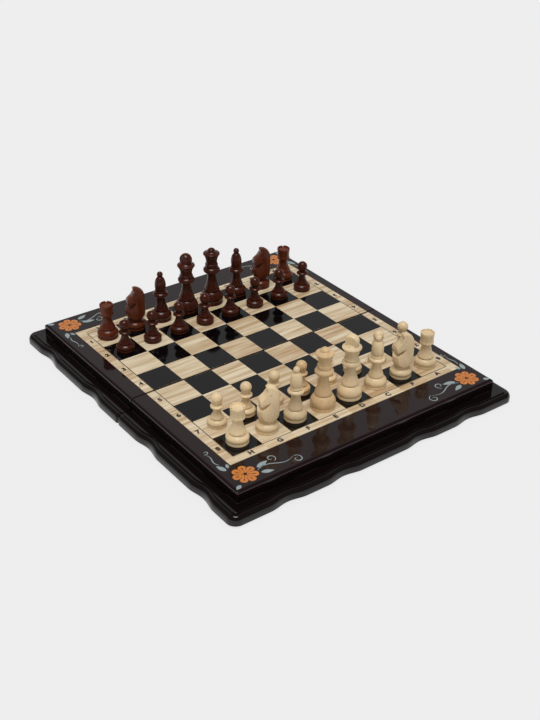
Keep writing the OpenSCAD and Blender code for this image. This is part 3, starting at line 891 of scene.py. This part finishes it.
def blossom():
    """Open blossom: wide petals, each with a dark vein, and short petals over them."""
    reach = sizes().blossom_r / MM
    coat = sizes().paint_t
    turn_by = 2 * math.pi / PETALS
    dark, bright = [], []
    for k in range(PETALS):
        angle = 0.4 + k * turn_by
        for shapes, heading, start, end, half_w, lift in (
                (bright, angle, 0.33, 1, 0.36, 0),
                (dark, angle, 0.45, 0.8, 0.05, coat),
                (bright, angle + turn_by / 2, 0.12, 0.46, 0.13, 2 * coat)):
            shapes.append(flat_shape(petal_outline(
                BLOSSOM_U, BLOSSOM_V, heading, start * reach, end * reach,
                half_w * reach), lift))
    return bright, dark


def foliage():
    """Leaves and tendrils that leave the blossom along both borders."""
    leaf = sizes().leaf_l / MM
    half = sizes().tendril_w / MM / 2
    shapes = [
        leaf_outline(41, 14, -0.35, leaf, leaf * 0.2),
        leaf_outline(42, 23, 0.25, leaf * 1.15, leaf * 0.22),
        leaf_outline(12, 37, 1.9, leaf * 0.95, leaf * 0.2),
        leaf_outline(10, 8, 3.6, leaf * 0.6, leaf * 0.17),
        leaf_outline(16, 40, 1.2, leaf * 0.55, leaf * 0.13),
        ribbon_outline(wave(40, 19, 86, 17, 3.5), half),
        ribbon_outline(spiral(88, 11, 6.5, 1.6, 95, -400), half),
        ribbon_outline(spiral(64, 28, 6, 1.5, -80, 380), half),
        ribbon_outline(wave(11, 50, 9, 74, 1.6), half),
        ribbon_outline(spiral(11.5, 77, 3.4, 1.0, -150, 330), half * 0.8),
    ]
    return [flat_shape(outline) for outline in shapes]


class COMPENDIUM_OT_corners(Operator):
    """Paint a plain floral ornament into each corner"""

    bl_idname = "compendium.corners"
    bl_label = "Painted corners"

    def execute(self, context):
        tints = {
            "petals": paint("petal_paint", colours().petal, 0.25),
            "veins": paint("vein_paint", colours().petal_dark, 0.2),
            "leaves": paint("leaf_paint", colours().leaf, 0.2),
        }
        for side, sign_y in (("near", -1), ("far", 1)):
            made = {"petals": [], "veins": [], "leaves": []}
            for sign_x in (-1, 1):
                bright, dark = blossom()
                groups = {"petals": bright, "veins": dark, "leaves": foliage()}
                for what, pieces in groups.items():
                    piece = join(f"{what}_corner", pieces)
                    begin_edit(piece)
                    bpy.ops.transform.resize(value=(sign_x, sign_y, 1),
                                             center_override=(0, 0, 0))
                    end_edit()
                    made[what].append(piece)
            for what, pieces in made.items():
                settle(join(f"{side}_corner_{what}", pieces), tints[what],
                       f"{side}_half")
        return {"FINISHED"}


# ---- Men ----
# Profiles are (radius, height) in millimetres from the foot to the top.

def bulb(r, foot_h, widest_z, top_r, top_z):
    """Thin foot disc, a fine groove and the round bulb that stands on it."""
    groove = 0.94 * r
    closing = math.degrees(math.acos(groove / r))
    opening = math.degrees(math.acos(top_r / r))
    below = (widest_z - foot_h - 0.4) / math.sin(math.radians(closing))
    above = (top_z - widest_z) / math.sin(math.radians(opening))
    return (
        [(0, 0), (0.955 * r, 0), (0.978 * r, 0.4), (0.978 * r, foot_h - 0.6)]
        + [(0.96 * r, foot_h - 0.15), (groove - 0.2, foot_h), (groove - 0.2, foot_h + 0.3)]
        + curve_arc(0, widest_z, r, below, -closing, 0, 4)
        + curve_arc(0, widest_z, r, above, 4, opening, 12)
    )


def bell(lip_r, z0, stem_r, z1):
    """Rounded lip that sweeps in to a stem."""
    return (
        [(lip_r - 0.8, z0 - 0.1)]
        + curve_arc(lip_r - 1.0, z0 + 1.3, 1.0, 1.2, -60, 0, 4)
        + between((lip_r, z0 + 1.3), (lip_r - 0.1, z0 + 0.22 * (z1 - z0)),
                  (stem_r + 0.9, z0 + 0.42 * (z1 - z0)), (stem_r, z1), 14)[1:]
    )


def collar(stem_r, r, z0, widest_z, z1, top_r):
    """Full rounded collar round the stem, sloping in at its top."""
    low, high = widest_z - z0, z1 - widest_z
    return (
        between((stem_r, z0), (stem_r + 0.6 * (r - stem_r), z0), (r, z0 + 0.35 * low),
                (r, widest_z), 7)
        + between((r, widest_z), (r, widest_z + 0.45 * high),
                  (top_r + 0.5 * (r - top_r), z1 - 0.25 * high), (top_r, z1), 7)[1:]
    )


def ring(r, z0, z1):
    """Crisp ring with eased edges."""
    return [(r - 0.6, z0), (r - 0.15, z0 + 0.2), (r, z0 + 0.6), (r, z1 - 0.6),
            (r - 0.15, z1 - 0.2), (r - 0.6, z1)]


def ball(r, z, start):
    """Ball up to its pole, from an angle below its middle."""
    return curve_arc(0, z, r, r, start, 90, 14)


PROFILES = {
    "pawn": (
        bulb(11.5, 2.7, 5.3, 7.3, 9.4)
        + bell(7.8, 9.6, 4.1, 21.0)
        + [(4.1, 23.0)]
        + collar(4.1, 7.7, 23.2, 25.3, 27.5, 5.2)
        + [(4.5, 27.8), (4.1, 28.6)]
        + ball(6.7, 35.3, -48)
    ),
    "rook": (
        bulb(13.5, 3.1, 6.3, 9.3, 12.0)
        + bell(10.0, 12.2, 5.7, 28.5)
        + between((5.7, 28.5), (5.9, 29.8), (6.7, 30.8), (7.9, 31.4), 5)[1:]
        + [(8.4, 31.9), (8.7, 32.6), (8.6, 33.5), (8.2, 34.2)]
        + between((8.2, 34.2), (7.9, 37), (8.2, 41), (8.7, 45.8), 6)[1:]
        + [(8.4, 46.5), (7.0, 46.5), (6.3, 45.0), (0, 44.6)]
    ),
    "bishop": (
        bulb(13.5, 3.1, 6.4, 8.7, 13.4)
        + bell(9.1, 13.6, 5.15, 31.0)
        + [(5.15, 33.8)]
        + collar(5.15, 9.8, 34.0, 36.8, 39.9, 6.6)
        + ring(7.4, 40.1, 42.0)
        + [(6.2, 42.2)]
        + between((6.0, 42.3), (7.0, 44.2), (7.3, 46.8), (7.25, 50.0), 7)
        + between((7.25, 50.0), (7.1, 54.6), (6.0, 59.0), (3.2, 61.2), 9)[1:]
        + ball(3.9, 64.6, -52)
    ),
    "queen": (
        bulb(15, 3.6, 7.6, 9.8, 17.8)
        + bell(10.3, 18.1, 5.6, 41.0)
        + [(5.6, 44.5)]
        + collar(5.6, 11.2, 44.8, 48.7, 52.8, 8.0)
        + ring(8.5, 53.2, 57.6)
        + between((7.5, 58.0), (7.0, 62), (7.8, 66), (10.2, 70.6), 9)
        + curve_arc(10.1, 72.0, 1.0, 1.2, -45, 65, 7)
        + between((10.4, 73.2), (8.4, 73.7), (6.6, 74.0), (5.4, 75.2), 6)
        + curve_arc(0, 75.4, 5.4, 4.6, 4, 90, 9)
    ),
    "king": (  # up to the crown, on which the finial stands
        bulb(15, 3.6, 7.6, 10.2, 17.0)
        + bell(10.7, 17.4, 5.7, 39.5)
        + [(5.7, 42.0)]
        + collar(5.7, 11.2, 42.3, 46.0, 49.8, 8.2)
        + ring(8.9, 50.1, 52.4)
        + between((8.0, 52.8), (7.4, 56), (7.7, 59), (9.4, 62.4), 8)
        + [(10.9, 64.9)]
        + curve_arc(10.7, 66.4, 0.95, 1.2, -50, 65, 7)
        + between((11.0, 67.6), (9.2, 68.1), (7.2, 68.9), (6.1, 71.0), 6)
        + [(0, 71.4)]
    ),
    "knight": (  # the base, on which the sawn head stands
        bulb(13.5, 3.1, 6.1, 9.0, 11.2)
        + [(8.4, 11.5), (8.2, 12.0), (8.5, 12.5), (8.8, 13.3), (8.6, 14.2), (8.1, 14.6)]
        + [(0, 14.6)]
    ),
}


FINIAL_R = 8.3 * MM
FINIAL_Z = 74.7 * MM
FINIAL_HALF = 4.6 * MM  # half its thickness between the sawn flats


def finial():
    """Ball sawn flat on two sides."""
    deselect()
    bpy.ops.mesh.primitive_uv_sphere_add(segments=48, ring_count=24, radius=FINIAL_R,
                                         location=(0, 0, FINIAL_Z))
    piece = bpy.context.object
    bpy.ops.object.transform_apply(location=True, rotation=False, scale=False)
    for sign in (-1, 1):
        begin_edit(piece)
        bpy.ops.mesh.bisect(plane_co=(0, sign * FINIAL_HALF, 0), plane_no=(0, sign, 0),
                            use_fill=True, clear_outer=True)
        end_edit(smooth=True)
    return piece


def horse_outline():
    """The sawn outline of a horse's head, forward along X, in millimetres. Behind the
    ears it runs clear of the turned barrel, which gives the nape and the back."""
    ear = [(0.6, 75), (1.0, 57.2), (2.4, 55.6), (1.6, 53.6), (1.8, 51.4)]
    brow = between((1.8, 51.4), (3.6, 49.6), (3.4, 47.8), (5.4, 45.6), 5)[1:]
    nose = between((5.4, 45.6), (7.6, 43.2), (10.6, 41.6), (10.9, 38.2), 6)[1:]
    chin = between((10.9, 38.2), (10.9, 35.8), (9.6, 34.6), (8.2, 35.2), 6)[1:]
    throat = between((8.2, 35.2), (6.0, 36.2), (3.0, 37.2), (0.2, 38.6), 5)[1:]
    neck = between((-0.4, 37.6), (0.8, 35.2), (3.6, 31.4), (12.9, 28.6), 8)
    return ([(-20, 10), (-20, 75)] + ear + brow + nose + chin + throat + neck
            + [(20, 27), (20, 10)])


HEAD_HALF = 8.4 * MM  # half the thickness of a knight's head, measured at HEAD_WAIST
HEAD_WAIST = 29 * MM
HEAD_TAPER = math.radians(8)  # lean of each sawn side
HEAD_ARRIS = 0.3 * MM
HEAD_SET_BACK = 1.2 * MM  # behind the middle of the base
BLANK_HALF = 20  # half the width of what the outline is sawn through, in millimetres
EYE_R = 1.5 * MM


def horse():
    """Turned barrel with a domed top, sawn to the outline and then flat on both sides."""
    barrel = turn("horse_body", (
        [(0, 14.4), (7.8, 14.4), (8.4, 14.8)]
        + between((8.4, 14.8), (11.0, 15.8), (12.6, 18.6), (12.7, 23.5), 8)[1:]
        + [(12.7, 36)]
        + curve_arc(0, 44.2, 12.7, 13.8, 0, 90, 14)))
    rings = [[Vector((x * MM, y * MM, z * MM)) for x, z in horse_outline()]
             for y in (-BLANK_HALF, BLANK_HALF)]
    cut(barrel, draw_out("sawn_outline", rings, smooth=False), "INTERSECT")
    for sign in (-1, 1):
        begin_edit(barrel)
        bpy.ops.mesh.bisect(plane_co=(0, sign * HEAD_HALF, HEAD_WAIST),
                            plane_no=(0, sign * math.cos(HEAD_TAPER), math.sin(HEAD_TAPER)),
                            use_fill=True, clear_outer=True)
        end_edit()
    apply_modifier(barrel, "BEVEL", width=HEAD_ARRIS, segments=2, limit_method="ANGLE",
                   angle_limit=math.radians(38))
    for sign in (-1, 1):
        deselect()
        bpy.ops.mesh.primitive_uv_sphere_add(segments=20, ring_count=12, radius=EYE_R,
                                             location=(-0.6 * MM, sign * 6.6 * MM, 47.5 * MM))
        cut(barrel, bpy.context.object)
    smooth_again(barrel)
    bpy.ops.transform.translate(value=(-HEAD_SET_BACK, 0, 0))
    return barrel


NOTCH_CUT = (40 * MM, 1.8 * MM, 2.2 * MM)  # length, width and height of a saw cut
NOTCH_Z = 46.2 * MM


def notch(piece):
    """Saws shallow notches across a rook's battlement."""
    for angle in (0, 60, 120):
        deselect()
        bpy.ops.mesh.primitive_cube_add(size=1, location=(0, 0, NOTCH_Z),
                                        rotation=(0, 0, math.radians(angle)),
                                        scale=NOTCH_CUT)
        cut(piece, bpy.context.object)
    smooth_again(piece)


def model_of(kind):
    """The model of one kind of man, standing on the origin."""
    piece = turn(kind, PROFILES[kind])
    if kind == "rook":
        notch(piece)
    if kind == "knight":
        piece = join(kind, [piece, horse()])
    if kind == "king":
        piece = join(kind, [piece, finial()])
    return piece


# Compass headings, in degrees from the right-hand side, of the men with a front
HEADINGS = {"knight": 160, "light_king": 115, "dark_king": 105}
# Men turned from a warmer plank
WARM_MEN = ("light_queen_", "light_pawn_e", "dark_rook_", "dark_knight_")


def set_out(kind):
    """Models one kind of man and sets a copy of it on each of its nodes."""
    model = model_of(kind)
    for node in [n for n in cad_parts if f"_{kind}_" in n]:
        shade = node.split("_")[0]
        select_only(model)
        bpy.ops.object.duplicate()
        man = bpy.context.object
        man.name = f"turned_{node}"
        heading = HEADINGS.get(f"{shade}_{kind}", HEADINGS.get(kind, 0))
        man.rotation_euler.z = math.radians(heading)
        man.location = middle(node)
        warm = node.startswith(WARM_MEN)
        material = maple(warm) if shade == "light" else red_stained_wood(warm)
        settle(man, material, node, [node])
    bpy.data.objects.remove(model)
    return {"FINISHED"}


class COMPENDIUM_OT_pawns(Operator):
    """Turn the sixteen pawns"""

    bl_idname = "compendium.pawns"
    bl_label = "Pawns"

    def execute(self, context):
        return set_out("pawn")


class COMPENDIUM_OT_rooks(Operator):
    """Turn the four rooks"""

    bl_idname = "compendium.rooks"
    bl_label = "Rooks"

    def execute(self, context):
        return set_out("rook")


class COMPENDIUM_OT_knights(Operator):
    """Turn and saw the four knights"""

    bl_idname = "compendium.knights"
    bl_label = "Knights"

    def execute(self, context):
        return set_out("knight")


class COMPENDIUM_OT_bishops(Operator):
    """Turn the four bishops"""

    bl_idname = "compendium.bishops"
    bl_label = "Bishops"

    def execute(self, context):
        return set_out("bishop")


class COMPENDIUM_OT_queens(Operator):
    """Turn the two queens"""

    bl_idname = "compendium.queens"
    bl_label = "Queens"

    def execute(self, context):
        return set_out("queen")


class COMPENDIUM_OT_kings(Operator):
    """Turn the two kings"""

    bl_idname = "compendium.kings"
    bl_label = "Kings"

    def execute(self, context):
        return set_out("king")


# ---- Inside and fittings ----

class COMPENDIUM_OT_inside(Operator):
    """Dress the backgammon boards, the hinges and the magnets"""

    bl_idname = "compendium.inside"
    bl_label = "Inside and fittings"

    def execute(self, context):
        for side in SIDES:
            dress([f"{side}_point_board"], board_wood())
            dress([f"{side}_points"], point_veneer())
            dress([f"{side}_hinge_leaves", f"{side}_hinge_screws"], rolled_brass())
            dress([f"{side}_magnets"], nickel_plate())
        dress(["hinge_pins"], rolled_brass())
        return {"FINISHED"}


# ---- Stage ----
# The camera stands as the photograph's did: its place and lens were worked out from
# the sixty-four squares of the field, on a frame of 540 by 720.

CAMERA_AZIMUTH = -37.19
CAMERA_ELEVATION = 31.49
CAMERA_ROLL = -1.015
CAMERA_DISTANCE = 1.4224
CAMERA_AIM = (-0.0045, -0.0240)
FOCAL_PIXELS = 1148.5
FRAME_HEIGHT = 720
SENSOR = 36
ROOM_LEVEL = 0.4
SKY_SEEN = 0.93  # the room as the camera itself sees it
FLOOR_SIZE = 30
FLOOR_SEEN = 0.82  # share of the floor's plain colour in the camera's view
FLOOR_MIRRORED = 0.6  # and in mirror images
MIRRORED_WINDOW = 0.42  # what the lacquer mirrors behind the box
MIRRORED_WALLS = 0.32  # low down on its far and left sides
MIRRORED_ROOM = 0.13  # and everywhere else
WINDOW_EDGE = (0.5, 0.8)  # from dark to full, as the cosine of the angle from its middle
FAR_SIDE_EDGE = (-0.25, 0.05)  # the same for all that lies behind the box
WALL_EDGE = (0.1, 0.4)  # from full to dark, as the height of the mirrored direction
LAMP_ELEVATION = 79
LAMP_AZIMUTH = -37
LAMP_WIDTH = 30
LAMP_DISTANCE = 2


def add_camera():
    """Sets the camera up from its angles, its distance and the point it looks at."""
    azimuth, elevation, roll = (math.radians(a) for a in
                                (CAMERA_AZIMUTH, CAMERA_ELEVATION, CAMERA_ROLL))
    back = Vector((math.sin(azimuth) * math.cos(elevation),
                   -math.cos(azimuth) * math.cos(elevation), math.sin(elevation)))
    right = Vector((math.cos(azimuth), math.sin(azimuth), 0))
    up = back.cross(right)
    rolled_right = math.cos(roll) * right - math.sin(roll) * up
    rolled_up = math.sin(roll) * right + math.cos(roll) * up
    deselect()
    bpy.ops.object.camera_add()
    camera = bpy.context.object
    camera.name = "camera"
    turned = Matrix((rolled_right, rolled_up, back)).transposed().to_4x4()
    place = Vector((*CAMERA_AIM, PLAY_Z)) + CAMERA_DISTANCE * back
    camera.matrix_world = Matrix.Translation(place) @ turned
    camera.data.sensor_fit = "VERTICAL"
    camera.data.sensor_height = SENSOR
    camera.data.lens = FOCAL_PIXELS / FRAME_HEIGHT * SENSOR
    bpy.context.scene.camera = camera


def add_floor():
    """A pale floor that keeps the box's shadow and is nearly plain where it is seen."""
    deselect()
    bpy.ops.mesh.primitive_plane_add(size=FLOOR_SIZE, location=(0, 0, CAD_BOX[0][2]))
    floor = bpy.context.object
    floor.name = "studio_floor"

    def surface(tree):
        lit = add_node(tree, "ShaderNodeBsdfDiffuse", inputs={"Color": colours().floor})
        plain = add_node(tree, "ShaderNodeEmission", inputs={"Color": colours().floor})
        ray = add_node(tree, "ShaderNodeLightPath")
        mirrored = add_node(tree, "ShaderNodeMath", {"operation": "MAXIMUM"}, {
            0: ray.outputs["Is Glossy Ray"], 1: ray.outputs["Is Transmission Ray"]})
        dimmed = add_node(tree, "ShaderNodeMath", {"operation": "MULTIPLY"}, {
            0: mirrored.outputs[0], 1: FLOOR_MIRRORED})
        share = add_node(tree, "ShaderNodeMath", {"operation": "MULTIPLY_ADD"}, {
            0: ray.outputs["Is Camera Ray"], 1: FLOOR_SEEN, 2: dimmed.outputs[0]})
        return add_node(tree, "ShaderNodeMixShader", inputs={
            0: share.outputs[0], 1: lit.outputs[0], 2: plain.outputs[0]})

    floor.data.materials.append(finish("studio_floor", surface))


def add_lights():
    """A dim even room and one broad soft lamp high above, a little towards the camera.
    Together they light a level surface so that its colour renders as it is written.
    Gloss surfaces mirror a dark room that is paler behind the box."""
    world = bpy.data.worlds.new("studio_room")
    world.use_nodes = True
    tree = world.node_tree
    tree.nodes.clear()
    towards = math.radians(-CAMERA_AZIMUTH)
    direction = add_node(tree, "ShaderNodeTexCoord").outputs["Generated"]
    ahead = add_node(tree, "ShaderNodeVectorMath", {"operation": "DOT_PRODUCT"}, {
        0: direction, 1: (math.sin(towards), math.cos(towards), 0)})
    height = add_node(tree, "ShaderNodeSeparateXYZ", inputs={"Vector": direction})
    smooth_step = {"interpolation_type": "SMOOTHSTEP"}
    window = add_node(tree, "ShaderNodeMapRange", smooth_step, {
        "Value": ahead.outputs["Value"], "From Min": WINDOW_EDGE[0],
        "From Max": WINDOW_EDGE[1], "To Min": 0, "To Max": MIRRORED_WINDOW})
    behind = add_node(tree, "ShaderNodeMapRange", smooth_step, {
        "Value": ahead.outputs["Value"], "From Min": FAR_SIDE_EDGE[0],
        "From Max": FAR_SIDE_EDGE[1], "To Min": 0, "To Max": 1})
    low = add_node(tree, "ShaderNodeMapRange", smooth_step, {
        "Value": height.outputs["Z"], "From Min": WALL_EDGE[0],
        "From Max": WALL_EDGE[1], "To Min": MIRRORED_WALLS, "To Max": 0})
    walls = add_node(tree, "ShaderNodeMath", {"operation": "MULTIPLY"}, {
        0: behind.outputs[0], 1: low.outputs[0]})
    brighter = add_node(tree, "ShaderNodeMath", {"operation": "MAXIMUM"}, {
        0: window.outputs[0], 1: walls.outputs[0]})
    mirrored = add_node(tree, "ShaderNodeMath", {"operation": "MAXIMUM"}, {
        0: brighter.outputs[0], 1: MIRRORED_ROOM})
    ray = add_node(tree, "ShaderNodeLightPath")
    lit = add_node(tree, "ShaderNodeMix", {"data_type": "FLOAT"}, {
        0: ray.outputs["Is Glossy Ray"], 2: ROOM_LEVEL, 3: mirrored.outputs[0]})
    level = add_node(tree, "ShaderNodeMix", {"data_type": "FLOAT"}, {
        0: ray.outputs["Is Camera Ray"], 2: lit.outputs[0], 3: SKY_SEEN})
    sky = add_node(tree, "ShaderNodeBackground", inputs={
        "Color": (1, 1, 1, 1), "Strength": level.outputs[0]})
    add_node(tree, "ShaderNodeOutputWorld", inputs={"Surface": sky.outputs[0]})
    bpy.context.scene.world = world
    lean = math.radians(90 - LAMP_ELEVATION)
    towards = math.radians(LAMP_AZIMUTH)
    direction = Vector((math.sin(towards) * math.sin(lean), -math.cos(towards) * math.sin(lean),
                        math.cos(lean)))
    deselect()
    bpy.ops.object.light_add(type="SUN", location=LAMP_DISTANCE * direction)
    lamp = bpy.context.object
    lamp.name = "overhead_softbox"
    lamp.data.angle = math.radians(LAMP_WIDTH)
    lamp.data.energy = (1 - ROOM_LEVEL) * math.pi / math.cos(lean)
    lamp.rotation_euler = direction.to_track_quat("Z", "Y").to_euler()


class COMPENDIUM_OT_stage(Operator):
    """Set the camera, the pale floor and the soft light"""

    bl_idname = "compendium.stage"
    bl_label = "Stage"

    def execute(self, context):
        add_camera()
        add_floor()
        add_lights()
        context.scene.view_settings.view_transform = "Standard"
        return {"FINISHED"}


OPERATORS = (
    COMPENDIUM_OT_case, COMPENDIUM_OT_mouldings, COMPENDIUM_OT_field_print,
    COMPENDIUM_OT_corners, COMPENDIUM_OT_pawns, COMPENDIUM_OT_rooks, COMPENDIUM_OT_knights,
    COMPENDIUM_OT_bishops, COMPENDIUM_OT_queens, COMPENDIUM_OT_kings, COMPENDIUM_OT_inside,
    COMPENDIUM_OT_stage,
)


class COMPENDIUM_PT_panel(Panel):
    """Lists the box's operators, sizes and colours"""

    bl_idname = "COMPENDIUM_PT_panel"
    bl_label = "Games compendium box"
    bl_space_type = "VIEW_3D"
    bl_region_type = "UI"
    bl_category = "Compendium"

    def draw(self, context):
        for operator in OPERATORS:
            self.layout.operator(operator.bl_idname)
        for group in (context.scene.compendium_sizes, context.scene.compendium_colours):
            box = self.layout.box()
            for name in group.__annotations__:
                box.prop(group, name)


CLASSES = (CompendiumSizes, CompendiumColours) + OPERATORS + (COMPENDIUM_PT_panel,)


def register():
    for item in CLASSES:
        bpy.utils.register_class(item)
    bpy.types.Scene.compendium_sizes = PointerProperty(type=CompendiumSizes)
    bpy.types.Scene.compendium_colours = PointerProperty(type=CompendiumColours)


def unregister():
    del bpy.types.Scene.compendium_colours
    del bpy.types.Scene.compendium_sizes
    for item in reversed(CLASSES):
        bpy.utils.unregister_class(item)


def main():
    register()
    bpy.ops.compendium.case()
    bpy.ops.compendium.mouldings()
    bpy.ops.compendium.field_print()
    bpy.ops.compendium.corners()
    bpy.ops.compendium.pawns()
    bpy.ops.compendium.rooks()
    bpy.ops.compendium.knights()
    bpy.ops.compendium.bishops()
    bpy.ops.compendium.queens()
    bpy.ops.compendium.kings()
    bpy.ops.compendium.inside()
    bpy.ops.compendium.stage()


if __name__ == "__main__":
    main()
